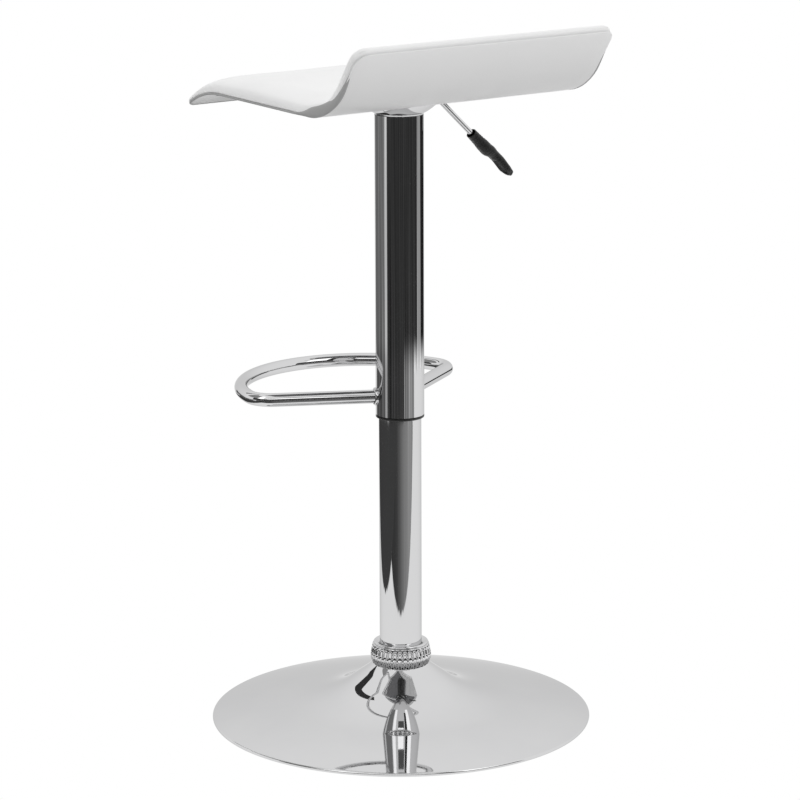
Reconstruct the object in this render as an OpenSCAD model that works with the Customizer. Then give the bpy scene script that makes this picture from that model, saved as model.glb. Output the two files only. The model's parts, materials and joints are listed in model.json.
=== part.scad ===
// Adjustable swivel stool with a gas lift, a footrest hoop and a padded wave seat.
// Origin: on the floor, on the column axis. +Z is up and the sitter faces -Y.
// The stool is drawn fully raised. All lengths are in millimetres.

/* [Base] */
// Outer diameter of the round base
base_d = 450; // [400:5:480]
// Rise of the base disc from its rim to its middle
dome_rise = 23; // [18:0.5:26]
// Roundness of the disc: 2 is an even dome, higher values bend more towards the rim
dome_power = 2.4; // [2:0.1:3]
// Thickness of the pressed base cover
sheet_t = 1.5; // [1.2:0.1:2]
// Radius of the rolled bead around the rim
bead_r = 2.2; // [2:0.1:3]
// Height at which the cone of the cover ends under the collar
cone_top_z = 68; // [60:1:70]
// Outer radius of the cone at its top
cone_top_r = 33; // [32:0.5:34]
// Slope of the cone's straight flank, in degrees
flank_angle = 35.6; // [33:0.2:38]
// Radius at which the flank starts to bend out into the disc
flank_r = 62; // [56:1:68]
// Radius at which the bend has become the disc
bend_r = 135; // [120:1:150]

/* [Column] */
// Outer diameter of the fixed lower column
column_d = 50; // [49.5:0.1:50.5]
// Wall thickness of the lower column
column_wall = 2; // [1.5:0.1:2.5]
// Height of the top end of the lower column
column_top = 490; // [470:1:500]
// Height of the fluted collar
collar_h = 27; // [24:1:30]
// Largest diameter of the fluted collar
collar_d = 73; // [70:0.5:76]
// Number of flutes around the collar
flute_count = 36; // [24:1:40]

/* [Outer tube] */
// Outer diameter of the moving outer tube
tube_d = 57; // [56.5:0.1:58]
// Wall thickness of the outer tube
tube_wall = 1.5; // [1.2:0.1:1.6]
// Height of the outer tube's lower end when fully raised
tube_bottom = 371; // [360:1:380]
// Height of the outer tube's upper end when fully raised
tube_top = 725; // [720:1:728]
// Radius of the flared bell above the tube
bell_r = 46; // [44:0.5:48]

/* [Footrest] */
// Diameter of the bent footrest tube
hoop_d = 16; // [14:0.5:18]
// Height of the footrest's centre line
hoop_z = 393; // [388:1:400]
// Angle of each arm from straight ahead
arm_angle = 60; // [55:1:62]
// Radius of the front sweep of the hoop
hoop_arc_r = 145; // [135:1:150]
// Distance from the column axis to the centre of the front sweep
hoop_arc_y = 70; // [60:1:75]
// Radius of the two bends beside the arms
hoop_bend_r = 28; // [24:1:32]

/* [Gas lift] */
// Travel of the seat from lowest to highest
stroke = 215; // [180:5:215]
// Diameter of the pressure tube
cylinder_d = 28; // [27.8:0.1:28.2]
// Diameter of the piston rod
rod_d = 10; // [9.8:0.1:10.2]
// Height of the lower end of the pressure tube when fully raised
cylinder_bottom = 290; // [288:1:300]

/* [Lever] */
// Diameter of the lever rod
lever_d = 6.5; // [6:0.1:6.8]
// Slope of the lever's outer part below the horizontal
lever_slope = 42; // [38:1:46]
// Distance of the lever's bend from the column axis
lever_bend_x = 42; // [40:0.5:44]
// Distance of the lever's pivot from the column axis
pivot_x = 32; // [30:0.5:33]
// Distance from the bend to the grip's open end
grip_start = 88; // [84:1:92]
// Length of the moulded grip
grip_len = 82; // [76:1:88]

/* [Seat] */
// Width of the seat
seat_w = 371; // [350:1:380]
// Backward tilt of the seat
seat_tilt = 2.3; // [1.8:0.1:2.8]
// Height of the seat's underside on the column axis
seat_z = 747.6; // [747:0.1:748.5]
// Radius of the front lip's curl
front_r = 105; // [95:1:115]
// Angle that the front lip turns down
front_angle = 36.8; // [34:0.1:39]
// Radius of the bend into the back lip, on its outside
back_r = 75; // [70:1:80]
// Angle that the back lip turns up
back_angle = 60.3; // [56:0.1:62]
// Length of the straight stretch of the back lip
back_rise = 24; // [20:1:28]
// Thickness of the bent plywood
ply_t = 5; // [5:0.1:5.5]
// Thickness of the padding at the middle of the seat
pad_t = 14; // [12:0.5:16]

/* [Hidden] */
$fn = 96;

chrome_c = "gainsboro";
steel_c = "silver";
zinc_c = "lightsteelblue";
dark_c = "dimgray";
black_c = "#262626";
white_c = "whitesmoke";
vinyl_c = "gray";
wood_c = "burlywood";
iron_c = "#4a4a4a";

// Clearance between parts that run on each other, and between parts that only pass
run_gap = 0.05;
pass_gap = 0.3;

// Base: plate, ring and hub heights above the floor
base_r = base_d / 2;
pad_ring_h = 3;
plate_top = 6;
hub_top = 58;
hub_r = 30;
flange_r = 46;
flange_t = 4;
bead_z = 4.2;

// Base cover: the edge of the disc, the cone's steeper neck, and where disc and flank would cross
disc_edge_r = base_r - bead_r;
disc_edge_z = bead_z + bead_r;
neck_r = 45;
neck_rise = 9.6;
neck_mid_r = 38.5;
flank_rate = tan(flank_angle);
bend_rate = disc_rate(bend_r);
cross_r = (flank_z(0) - disc_z(bend_r) - bend_rate * bend_r) / (flank_rate - bend_rate);

// Column and lift
column_r = column_d / 2;
bore_r = column_r - column_wall;
tube_r = tube_d / 2;
tube_in_r = tube_r - tube_wall;
bush_lip_h = 3;
foot_bottom = 14;
foot_t = 6;
race_t = 2;
ball_d = 4;
ball_ring_r = 12;
ball_count = 14;
race_z = foot_bottom + foot_t;
ball_z = race_z + race_t + ball_d / 2;
upper_race_z = ball_z + ball_d / 2 + run_gap;
stub_r = 4;
rod_r = rod_d / 2;
buffer_h = 20;
cylinder_r = cylinder_d / 2;
cylinder_wall = 1.5;
cylinder_in_r = cylinder_r - cylinder_wall;
cylinder_top = 741;
taper_len = 32;
taper_end_r = 13.1;
gland_h = 20;
piston_gap = 2;
piston_h = 18;
piston_bottom = cylinder_bottom + gland_h + piston_gap;
socket_r = 18;
valve_r = 2.5;
lever_z = 751;
lever_r = lever_d / 2;
valve_top = lever_z - lever_r - 0.1;

// Lever plate, pivot and pocket
plate_w = 132;
plate_t = 3;
slot_w = 14;
slot_out = 64;
pocket_w = 30;
pocket_out = 70;
pocket_in = 22;
pocket_top = 10;
pin_r = 2;
pin_head_r = 2.8;
ear_in = 4.2;
ear_t = 2.5;
screw_x = 52;
screw_y = 45;
screw_r = 3;
board_w = 170;
board_front = 88;
board_back = 70;
board_t = 8;

// Seat layers, measured up from its underside
cover_t = 1;
ply_top = cover_t + ply_t;
binding_t = 2.5;
lip_pad_t = 7;
front_pad_t = 4;
flat_front = 95;
flat_back = 72;
flare_r = 110;
flare_angle = 11;
front_corner_r = 8;
back_corner_r = 14;
corner_top = 826;

function polar(c, r, a) = c + r * [cos(a), sin(a)];
function flip(list) = [for (i = [len(list) - 1:-1:0]) list[i]];
function mix(a, b, k) = a + (b - a) * k;

// Height of the disc's upper face at radius r, and how fast it falls there
function disc_z(r) = disc_edge_z + dome_rise * (1 - pow(r / disc_edge_r, dome_power));
function disc_rate(r) = dome_rise * dome_power / disc_edge_r * pow(r / disc_edge_r, dome_power - 1);

// Height of the cone's flank at radius r
function flank_z(r) = cone_top_z - neck_rise + (neck_r - r) * flank_rate;

// Point at share k of the curve that leaves a towards b and arrives at c
function blend(a, b, c, k) = mix(mix(a, b, k), mix(b, c, k), k);

// Base cover surface at depth t under the outside, from the rim to the top of the cone
function disc_point(r, t) = [r, disc_z(r) - t];
function flank_point(r, t) = [r, flank_z(r) - t / cos(flank_angle)];
function cover_line(t) = concat(
    [for (k = [0:0.0625:1]) disc_point(mix(disc_edge_r, bend_r, k), t)],
    [for (k = [0.1:0.1:1])
        blend(disc_point(bend_r, t), flank_point(cross_r, t), flank_point(flank_r, t), k)],
    [for (k = [0:0.25:1])
        blend(flank_point(neck_r, t), flank_point(neck_mid_r, t), [cone_top_r - 1.4 * t, cone_top_z], k)]
);

module ring(r_out, r_in, h) {
    difference() {
        cylinder(r = r_out, h = h);
        translate([0, 0, -1])
            cylinder(r = r_in, h = h + 2);
    }
}

module at_corners(x, y) {
    for (sx = [-1, 1])
        for (sy = [-1, 1])
            translate([sx * x, sy * y, 0])
                children();
}

// ---------- Base ----------

module base_cover() {
    color(chrome_c) {
        rotate_extrude()
            polygon(concat(cover_line(0), flip(cover_line(sheet_t))));
        rotate_extrude()
            translate([base_r - bead_r, bead_z])
                circle(r = bead_r, $fn = 32);
    }
}

module ballast_plate() {
    color(dark_c)
        translate([0, 0, pad_ring_h])
            ring(base_r - 13, hub_r, plate_top - pad_ring_h);
}

module ballast_ring() {
    color(iron_c)
        translate([0, 0, plate_top])
            ring(150, 60, 6);
}

module base_hub() {
    color(dark_c)
        difference() {
            union() {
                translate([0, 0, plate_top])
                    cylinder(r = flange_r, h = flange_t);
                translate([0, 0, pad_ring_h])
                    cylinder(r = hub_r, h = hub_top - pad_ring_h);
            }
            translate([0, 0, -1])
                cylinder(r = column_r, h = hub_top + 2);
            for (a = [45:90:315])
                rotate([0, 0, a])
                    translate([38, 0, plate_top - 1])
                        cylinder(r = 2.5, h = flange_t + 2);
        }
}

module hub_screws() {
    color(zinc_c)
        for (a = [45:90:315])
            rotate([0, 0, a])
                translate([38, 0, plate_top]) {
                    cylinder(r = 2.5, h = flange_t);
                    translate([0, 0, flange_t])
                        cylinder(r = 4.5, h = 3);
                }
}

module floor_ring() {
    color(black_c)
        ring(base_r - 8, base_r - 24, pad_ring_h);
}

module column_collar() {
    taper_h = 8;
    band_h = 10;
    r = collar_d / 2;
    color(chrome_c)
        translate([0, 0, cone_top_z])
            difference() {
                rotate_extrude()
                    polygon([
                        [column_r, 0], [cone_top_r + 0.5, 0], [r, taper_h], [r, taper_h + band_h],
                        [r - 4, collar_h - 1.5], [r - 6, collar_h], [column_r, collar_h]
                    ]);
                for (i = [0:flute_count - 1])
                    rotate([0, 0, i * 360 / flute_count])
                        translate([r + 0.6, 0, -1])
                            cylinder(r = 1.8, h = taper_h + band_h, $fn = 24);
            }
}

// ---------- Fixed column and its bearing ----------

module lower_column() {
    color(chrome_c)
        translate([0, 0, pad_ring_h])
            ring(column_r, bore_r, column_top - pad_ring_h);
}

module column_foot() {
    color(steel_c)
        translate([0, 0, foot_bottom])
            ring(bore_r, stub_r + run_gap, foot_t);
}

module guide_bush() {
    color(white_c)
        translate([0, 0, column_top - 80])
            ring(bore_r, cylinder_r + run_gap, 80);
}

module bearing_lower_race() {
    color(steel_c)
        translate([0, 0, race_z])
            ring(ball_ring_r + 4, stub_r + pass_gap, race_t);
}

module bearing_balls() {
    color(steel_c)
        for (i = [0:ball_count - 1])
            rotate([0, 0, i * 360 / ball_count])
                translate([ball_ring_r, 0, ball_z])
                    sphere(r = ball_d / 2 - 0.02, $fn = 32);
}

module bearing_cage() {
    color("goldenrod")
        translate([0, 0, ball_z - 0.6])
            difference() {
                ring(ball_ring_r + 3, ball_ring_r - 3, 1.2);
                for (i = [0:ball_count - 1])
                    rotate([0, 0, i * 360 / ball_count])
                        translate([ball_ring_r, 0, -1])
                            cylinder(r = ball_d / 2 + 0.05, h = 4, $fn = 32);
            }
}

// ---------- Piston rod group: turns with the seat, stays at its height ----------

module piston_rod() {
    clip_z = 10.5;
    color(steel_c)
        difference() {
            union() {
                translate([0, 0, 8])
                    cylinder(r = stub_r, h = upper_race_z + race_t - 8);
                translate([0, 0, upper_race_z + race_t])
                    cylinder(r = rod_r, h = piston_bottom + piston_h - upper_race_z - race_t);
            }
            translate([0, 0, clip_z])
                ring(stub_r + 1, stub_r - 1, 1.2);
        }
}

module piston() {
    color(steel_c)
        difference() {
            translate([0, 0, piston_bottom])
                ring(cylinder_in_r - pass_gap, rod_r, piston_h);
            translate([0, 0, piston_bottom + 7])
                ring(cylinder_r, cylinder_in_r - 2.3, 4);
        }
}

module piston_seal() {
    color(black_c)
        translate([0, 0, piston_bottom + 7])
            ring(cylinder_in_r - 0.1, cylinder_in_r - 2.3, 4);
}

module bearing_upper_race() {
    color(steel_c)
        translate([0, 0, upper_race_z])
            ring(ball_ring_r + 4, stub_r, race_t);
}

module rubber_buffer() {
    color(black_c)
        translate([0, 0, upper_race_z + race_t])
            ring(13, rod_r, buffer_h);
}

module rod_washer() {
    color(zinc_c)
        translate([0, 0, 11.7])
            ring(9, stub_r, foot_bottom - 11.7 - 0.1);
}

module rod_clip() {
    color(dark_c)
        translate([0, 0, 10.5])
            difference() {
                ring(7, stub_r - 1, 1.2);
                translate([0, -1.5, -1])
                    cube([10, 3, 4]);
            }
}

// ---------- Lift group: turns and rises with the seat ----------

// Everything in here is cut off above the seat plate's tilted underside
module below_plate() {
    difference() {
        children();
        seat_place()
            translate([-100, -100, -plate_t])
                cube([200, 200, 60]);
    }
}

// Puts local seat coordinates, with its flat stretch level at zero, in place
module seat_place() {
    translate([0, 0, seat_z])
        rotate([-seat_tilt, 0, 0])
            children();
}

module gas_cylinder() {
    color(dark_c)
        difference() {
            union() {
                translate([0, 0, cylinder_bottom])
                    cylinder(r = cylinder_r, h = cylinder_top - taper_len - cylinder_bottom);
                translate([0, 0, cylinder_top - taper_len])
                    cylinder(r1 = cylinder_r, r2 = taper_end_r, h = taper_len);
            }
            translate([0, 0, cylinder_bottom - 1])
                cylinder(r = cylinder_in_r, h = cylinder_top - taper_len - cylinder_bottom + 1);
            translate([0, 0, cylinder_top - taper_len - 1])
                cylinder(r = 10, h = taper_len + 2);
        }
}

module cylinder_gland() {
    color(black_c)
        translate([0, 0, cylinder_bottom])
            ring(cylinder_in_r, rod_r + run_gap, gland_h);
}

module valve_block() {
    color("goldenrod")
        translate([0, 0, cylinder_top - taper_len])
            difference() {
                cylinder(r = 10, h = taper_len);
                translate([0, 0, 20])
                    cylinder(r = valve_r + run_gap, h = taper_len);
            }
}

module outer_tube() {
    color(chrome_c)
        translate([0, 0, tube_bottom])
            ring(tube_r, tube_in_r, tube_top - tube_bottom);
}

module tube_bush() {
    color(black_c)
        difference() {
            union() {
                translate([0, 0, tube_bottom - bush_lip_h])
                    cylinder(r = tube_r, h = bush_lip_h);
                translate([0, 0, tube_bottom])
                    cylinder(r = tube_in_r, h = 40);
            }
            translate([0, 0, tube_bottom - bush_lip_h - 1])
                cylinder(r = column_r + pass_gap, h = 60);
        }
}

// Centre line of the hoop: straight arms, a bend on each side, then the front sweep
arm_dir = [sin(arm_angle), -cos(arm_angle)];
arm_front = [-cos(arm_angle), -sin(arm_angle)];
bend_from = hoop_bend_r * arm_front + [0, hoop_arc_y];
bend_b = bend_from * arm_dir;
bend_reach = hoop_arc_r - hoop_bend_r;
bend_root = sqrt(bend_b * bend_b - bend_from * bend_from + bend_reach * bend_reach);
arm_len = -bend_b + bend_root;
bend_c = arm_len * arm_dir + hoop_bend_r * arm_front;
bend_end_angle = atan2(bend_c[1] + hoop_arc_y, bend_c[0]);

module footrest_hoop() {
    half = hoop_d / 2;
    color(chrome_c)
        translate([0, 0, hoop_z])
            difference() {
                union() {
                    for (side = [0, 1])
                        mirror([side, 0, 0]) {
                            rotate([0, 0, arm_angle - 90])
                                rotate([0, 90, 0])
                                    cylinder(r = half, h = arm_len);
                            translate([bend_c[0], bend_c[1], 0])
                                rotate([0, 0, bend_end_angle])
                                    rotate_extrude(angle = arm_angle - bend_end_angle)
                                        translate([hoop_bend_r, 0])
                                            circle(r = half, $fn = 48);
                        }
                    translate([0, -hoop_arc_y, 0])
                        rotate([0, 0, -180 - bend_end_angle])
                            rotate_extrude(angle = 180 + 2 * bend_end_angle)
                                translate([hoop_arc_r, 0])
                                    circle(r = half, $fn = 48);
                }
                translate([0, 0, -20])
                    cylinder(r = tube_r, h = 40);
            }
}

module top_bell() {
    color(chrome_c)
        below_plate()
            difference() {
                translate([0, 0, tube_top])
                    rotate_extrude()
                        polygon([
                            [tube_in_r, 0], [tube_r, 0], [tube_r + 8.5, 6.5], [bell_r, 13],
                            [bell_r, 25], [bell_r - 1.5, 25], [bell_r - 1.5, 14],
                            [tube_in_r + 8, 7.5], [tube_in_r, 1.2]
                        ]);
                translate([-slot_out, -slot_w / 2, tube_top + 5])
                    cube([slot_out - 30, slot_w, 30]);
            }
}

module taper_socket() {
    color(dark_c)
        below_plate()
            difference() {
                translate([0, 0, cylinder_top - taper_len])
                    cylinder(r = socket_r, h = taper_len + 20);
                translate([0, 0, cylinder_top - taper_len])
                    cylinder(r1 = cylinder_r, r2 = taper_end_r, h = taper_len);
                translate([0, 0, cylinder_top])
                    cylinder(r = taper_end_r, h = 20);
            }
}

module seat_plate() {
    color(black_c)
        difference() {
            seat_place()
                difference() {
                    translate([-plate_w / 2, -plate_w / 2, -plate_t])
                        cube([plate_w, plate_w, plate_t]);
                    translate([0, 0, -plate_t])
                        at_corners(plate_w / 2, plate_w / 2)
                            corner_cut(15, plate_t);
                    translate([0, 0, -plate_t - 1])
                        at_corners(screw_x, screw_y)
                            cylinder(r = screw_r + pass_gap, h = plate_t + 2);
                }
            translate([0, 0, 730])
                cylinder(r = 12, h = 40);
            translate([-slot_out, -slot_w / 2, 730])
                cube([slot_out, slot_w, 40]);
        }
}

// Cuts a corner at 45 degrees
module corner_cut(size, h) {
    translate([0, 0, -1])
        rotate([0, 0, 45])
            translate([-size / sqrt(2), -size / sqrt(2), 0])
                cube([size * sqrt(2), size * sqrt(2), h + 2]);
}

module lever_bracket() {
    color(steel_c)
        difference() {
            for (side = [0, 1])
                mirror([0, side, 0])
                    translate([-pivot_x - 7, slot_w / 2, 740])
                        cube([14, ear_t, 15.5]);
            seat_place()
                translate([-100, -100, -60])
                    cube([200, 200, 60]);
            translate([-pivot_x, 20, lever_z])
                rotate([90, 0, 0])
                    cylinder(r = pin_r, h = 40, $fn = 48);
        }
}

module lever_pin() {
    color(zinc_c)
        translate([-pivot_x, 0, lever_z])
            rotate([90, 0, 0]) {
                translate([0, 0, -slot_w / 2 - ear_t - 1.8])
                    cylinder(r = pin_r, h = slot_w + 2 * ear_t + 1.8);
                translate([0, 0, slot_w / 2 + ear_t])
                    cylinder(r = pin_head_r, h = 1.2);
            }
}

module pin_clip() {
    color(dark_c)
        translate([-pivot_x, slot_w / 2 + ear_t + 0.1, lever_z])
            rotate([-90, 0, 0])
                ring(pin_head_r, pin_r, 0.8);
}

module seat_screws() {
    color(zinc_c)
        seat_place()
            translate([0, 0, -plate_t])
                at_corners(screw_x, screw_y) {
                    translate([0, 0, -0.8])
                        cylinder(r = screw_r, h = 15);
                    translate([0, 0, -3])
                        cylinder(r = 5.5, h = 2.2);
                }
}

module screw_washers() {
    color(zinc_c)
        seat_place()
            translate([0, 0, -plate_t - 0.8])
                at_corners(screw_x, screw_y)
                    ring(7, screw_r, 0.8);
}

module tee_nuts() {
    color(zinc_c)
        seat_place()
            translate([0, 0, ply_top])
                at_corners(screw_x, screw_y) {
                    ring(4, screw_r, board_t);
                    translate([0, 0, board_t])
                        ring(8, screw_r, 1.2);
                }
}

module mount_board() {
    color(wood_c)
        seat_place()
            difference() {
                translate([-board_w / 2, -board_front, ply_top])
                    cube([board_w, board_front + board_back, board_t]);
                translate([0, 0, ply_top - 1])
                    at_corners(screw_x, screw_y)
                        cylinder(r = 4, h = board_t + 2);
                lever_pocket();
            }
}

// Room above the plate for the lever, its bracket and the valve button
module lever_pocket() {
    translate([-pocket_out, -pocket_w / 2, -1])
        cube([pocket_out + pocket_in, pocket_w, pocket_top + 1]);
}

// ---------- Seat ----------

back_end_centre = [flat_back, back_r];
rise_dir = [cos(back_angle), sin(back_angle)];
rise_start = polar(back_end_centre, back_r, back_angle - 90);
rise_end = rise_start + back_rise * rise_dir;
flare_centre = polar(rise_end, flare_r, back_angle - 90);

// Line at height t above the seat's underside, from the front tip to the back edge
function seat_line(t_front, t_mid, t_lip) = concat(
    [for (k = [0:0.125:1])
        polar([-flat_front, -front_r], front_r + mix(t_front, t_mid, sqrt(k)),
            90 + front_angle * (1 - k))],
    [for (k = [0:0.125:1])
        polar(back_end_centre, back_r - mix(t_mid, t_lip, k), back_angle * k - 90)],
    [for (k = [0:0.25:1])
        polar(flare_centre, flare_r + t_lip, 90 + back_angle - flare_angle * k)]
);

module seat_layer(low, high, width) {
    translate([-width / 2, 0, 0])
        rotate([90, 0, 90])
            linear_extrude(width)
                polygon(concat(seat_line(high[0], high[1], high[2]),
                    flip(seat_line(low[0], low[1], low[2]))));
}

// Front and back corners of the seat's outline
module seat_outline(width) {
    intersection() {
        children();
        translate([0, 200, 0])
            rotate([90, 0, 0])
                linear_extrude(400)
                    rounded_end(width, back_corner_r, corner_top, 600);
        translate([0, 0, 700])
            linear_extrude(200)
                rotate(180)
                    rounded_end(width, front_corner_r, 162, -300);
    }
}

// Upright strip from low to high, with its two upper corners rounded
module rounded_end(width, r, high, low) {
    translate([-width / 2, low])
        square([width, high - r - low]);
    translate([-width / 2 + r, low])
        square([width - 2 * r, high - low]);
    for (side = [-1, 1])
        translate([side * (width / 2 - r), high - r])
            circle(r = r);
}

module seat_shell() {
    color(wood_c)
        difference() {
            seat_outline(seat_w - 2 * binding_t)
                seat_place()
                    seat_layer([cover_t, cover_t, cover_t], [ply_top, ply_top, ply_top],
                        seat_w - 2 * binding_t);
            seat_place()
                translate([0, 0, -1])
                    at_corners(screw_x, screw_y)
                        cylinder(r = screw_r + pass_gap, h = 12);
            seat_place()
                lever_pocket();
        }
}

module seat_cover() {
    color(vinyl_c)
        difference() {
            seat_outline(seat_w - 2 * binding_t)
                seat_place()
                    seat_layer([0, 0, 0], [cover_t, cover_t, cover_t],
                        seat_w - 2 * binding_t);
            seat_place()
                translate([0, 0, -1])
                    at_corners(screw_x, screw_y)
                        cylinder(r = screw_r + pass_gap, h = 12);
            seat_place()
                lever_pocket();
        }
}

module seat_pad() {
    color(white_c)
        difference() {
            seat_outline(seat_w - 2 * binding_t)
                seat_place()
                    union() {
                        seat_layer([ply_top, ply_top, ply_top],
                            [ply_top + front_pad_t, ply_top + pad_t / 2, ply_top + lip_pad_t],
                            seat_w - 2 * binding_t);
                        seat_layer([ply_top, ply_top, ply_top],
                            [ply_top + front_pad_t, ply_top + pad_t, ply_top + lip_pad_t],
                            seat_w - 50);
                    }
            seat_place() {
                translate([-board_w / 2, -board_front, ply_top - 1])
                    cube([board_w, board_front + board_back, board_t + 1]);
                translate([0, 0, ply_top])
                    at_corners(screw_x, screw_y)
                        cylinder(r = 8, h = board_t + 1.2);
            }
        }
}

module edge_binding() {
    color(vinyl_c)
        seat_outline(seat_w)
            seat_place()
                for (side = [-1, 1])
                    translate([side * (seat_w - binding_t) / 2, 0, 0])
                        seat_layer([0, 0, 0], [ply_top, ply_top, ply_top + lip_pad_t],
                            binding_t);
}

// ---------- Lever and valve ----------

lever_bend_r = 12;
lever_bend_run = lever_bend_r * tan(lever_slope / 2);

// Local frame of the lever's outer part: x runs along the rod from its bend
module along_lever() {
    translate([-lever_bend_x, 0, lever_z])
        rotate([0, 180 - lever_slope, 0])
            children();
}

module lever_rod() {
    inner_end = 3;
    color(chrome_c)
        difference() {
            union() {
                translate([-lever_bend_x + lever_bend_run, 0, lever_z])
                    rotate([0, 90, 0])
                        cylinder(r = lever_r, h = lever_bend_x - lever_bend_run + inner_end);
                translate([-lever_bend_x + lever_bend_run, 0, lever_z - lever_bend_r])
                    rotate([90, 0, 0])
                        rotate([0, 0, 90])
                            rotate_extrude(angle = lever_slope)
                                translate([lever_bend_r, 0])
                                    circle(r = lever_r, $fn = 48);
                along_lever()
                    translate([lever_bend_run, 0, 0])
                        rotate([0, 90, 0])
                            cylinder(r = lever_r, h = grip_start + 30 - lever_bend_run);
            }
            translate([-pivot_x, 20, lever_z])
                rotate([90, 0, 0])
                    cylinder(r = pin_r + run_gap, h = 40, $fn = 48);
        }
}

module grip_disc(x, w, h) {
    translate([x, 0, 0])
        rotate([0, 90, 0])
            linear_extrude(0.5)
                resize([h, w])
                    circle(r = 5, $fn = 32);
}

module lever_grip() {
    color(black_c)
        along_lever()
            difference() {
                translate([grip_start, 0, 0]) {
                    hull() {
                        grip_disc(0, 12, 12);
                        grip_disc(18, 13.5, 14);
                    }
                    hull() {
                        grip_disc(18, 13.5, 14);
                        grip_disc(32, 14.5, 15.5);
                    }
                    hull() {
                        grip_disc(32, 14.5, 15.5);
                        grip_disc(45, 16, 12);
                    }
                    hull() {
                        grip_disc(45, 16, 12);
                        grip_disc(66, 19, 11);
                        grip_disc(grip_len - 5, 14, 9);
                        grip_disc(grip_len - 0.5, 6, 4);
                    }
                }
                translate([grip_start - 1, 0, 0])
                    rotate([0, 90, 0])
                        cylinder(r = lever_r + 1.4, h = 13);
                translate([grip_start - 1, 0, 0])
                    rotate([0, 90, 0])
                        cylinder(r = lever_r, h = 31);
            }
}

module release_pin() {
    color(steel_c)
        translate([0, 0, cylinder_top - taper_len + 25])
            cylinder(r = valve_r, h = valve_top - cylinder_top + taper_len - 25);
}

base_cover();
ballast_plate();
ballast_ring();
base_hub();
hub_screws();
floor_ring();
column_collar();
lower_column();
column_foot();
guide_bush();
bearing_lower_race();
bearing_balls();
bearing_cage();
piston_rod();
piston();
piston_seal();
bearing_upper_race();
rubber_buffer();
rod_washer();
rod_clip();
gas_cylinder();
cylinder_gland();
valve_block();
outer_tube();
tube_bush();
footrest_hoop();
top_bell();
taper_socket();
seat_plate();
lever_bracket();
lever_pin();
pin_clip();
seat_screws();
screw_washers();
tee_nuts();
mount_board();
seat_shell();
seat_cover();
seat_pad();
edge_binding();
lever_rod();
lever_grip();
release_pin();
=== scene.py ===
import json
import math
import bpy
from mathutils import Euler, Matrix, Quaternion, Vector, noise


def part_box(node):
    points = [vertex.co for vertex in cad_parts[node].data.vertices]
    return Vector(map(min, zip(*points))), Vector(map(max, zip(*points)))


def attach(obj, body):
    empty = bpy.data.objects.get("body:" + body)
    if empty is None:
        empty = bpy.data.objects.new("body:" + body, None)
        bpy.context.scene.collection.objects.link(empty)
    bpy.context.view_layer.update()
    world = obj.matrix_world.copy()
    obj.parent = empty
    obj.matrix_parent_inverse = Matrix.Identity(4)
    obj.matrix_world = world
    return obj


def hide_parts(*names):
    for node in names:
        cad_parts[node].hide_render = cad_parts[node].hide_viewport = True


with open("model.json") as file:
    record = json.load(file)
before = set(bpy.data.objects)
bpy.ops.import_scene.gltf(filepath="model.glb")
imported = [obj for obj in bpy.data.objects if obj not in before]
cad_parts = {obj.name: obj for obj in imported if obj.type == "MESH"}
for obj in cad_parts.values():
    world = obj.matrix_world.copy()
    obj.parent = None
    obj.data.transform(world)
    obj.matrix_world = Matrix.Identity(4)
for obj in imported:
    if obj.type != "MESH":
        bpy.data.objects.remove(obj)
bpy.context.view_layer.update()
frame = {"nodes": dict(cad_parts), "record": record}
scene = bpy.context.scene

# ---------------------------------------------------------------- sizes (metres)
VIEW_AZIMUTH = math.radians(141.7)
TOWARDS_VIEW = Vector((math.sin(VIEW_AZIMUTH), -math.cos(VIEW_AZIMUTH), 0))
VIEW_RIGHT = Vector((math.cos(VIEW_AZIMUTH), math.sin(VIEW_AZIMUTH), 0))

COLUMN_TURNS = 256          # facets around the chromed tubes

# Base cover, as the frame's base disc: a disc that bends towards its rim, and a hollow cone
BASE_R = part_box("base_cover")[1][0]
BEAD_R = 0.0022
BEAD_Z = 0.0042
DISC_RISE = 0.023
DISC_POWER = 2.4
CONE_TOP_R = 0.033
CONE_TOP_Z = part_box("base_cover")[1][2]
NECK_R = 0.045
NECK_MID_R = 0.0385
NECK_RISE = 0.0096
FLANK_RATE = math.tan(math.radians(35.6))
FLANK_R = 0.062
BEND_R = 0.135

# Footrest hoop
HOOP_R = 0.008
HOOP_ARM = math.radians(60)
HOOP_SWEEP = 0.145
HOOP_SWEEP_Y = -0.070
HOOP_BEND = 0.028

# Lever
LEVER_R = 0.00325
LEVER_SLOPE = math.radians(42)
LEVER_BEND_X = -0.042
LEVER_Z = 0.751
LEVER_BEND_R = 0.012
GRIP_START = 0.088
GRIP_LEN = 0.082

# Seat, in its own tilted frame: underside profile and outline
SEAT_Z = 0.7476
SEAT_TILT = math.radians(-2.3)
SEAT_HALF_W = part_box("edge_binding")[1][0]
FRONT_R = 0.105
FRONT_ANGLE = math.radians(36.8)
FLAT_FRONT = -0.095
FLAT_BACK = 0.072
BACK_R = 0.075
BACK_ANGLE = math.radians(60.3)
BACK_RISE = 0.024
FLARE_R = 0.110
FLARE_ANGLE = math.radians(13.2)
FRONT_CORNER = 0.010
BACK_CORNER = 0.016
RIM_T = 0.0024             # visible thickness of the piping under the pad


# ---------------------------------------------------------------- small helpers
def mix(a, b, k):
    return a + (b - a) * k


def clamp(v, low=0.0, high=1.0):
    return max(low, min(high, v))


def smooth(k):
    k = clamp(k)
    return k * k * (3 - 2 * k)


def curve_through(stops, x):
    """Smooth value at x through (position, value) stops."""
    for (x0, v0), (x1, v1) in zip(stops, stops[1:]):
        if x <= x1:
            return mix(v0, v1, smooth((x - x0) / (x1 - x0)))
    return stops[-1][1]


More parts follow.
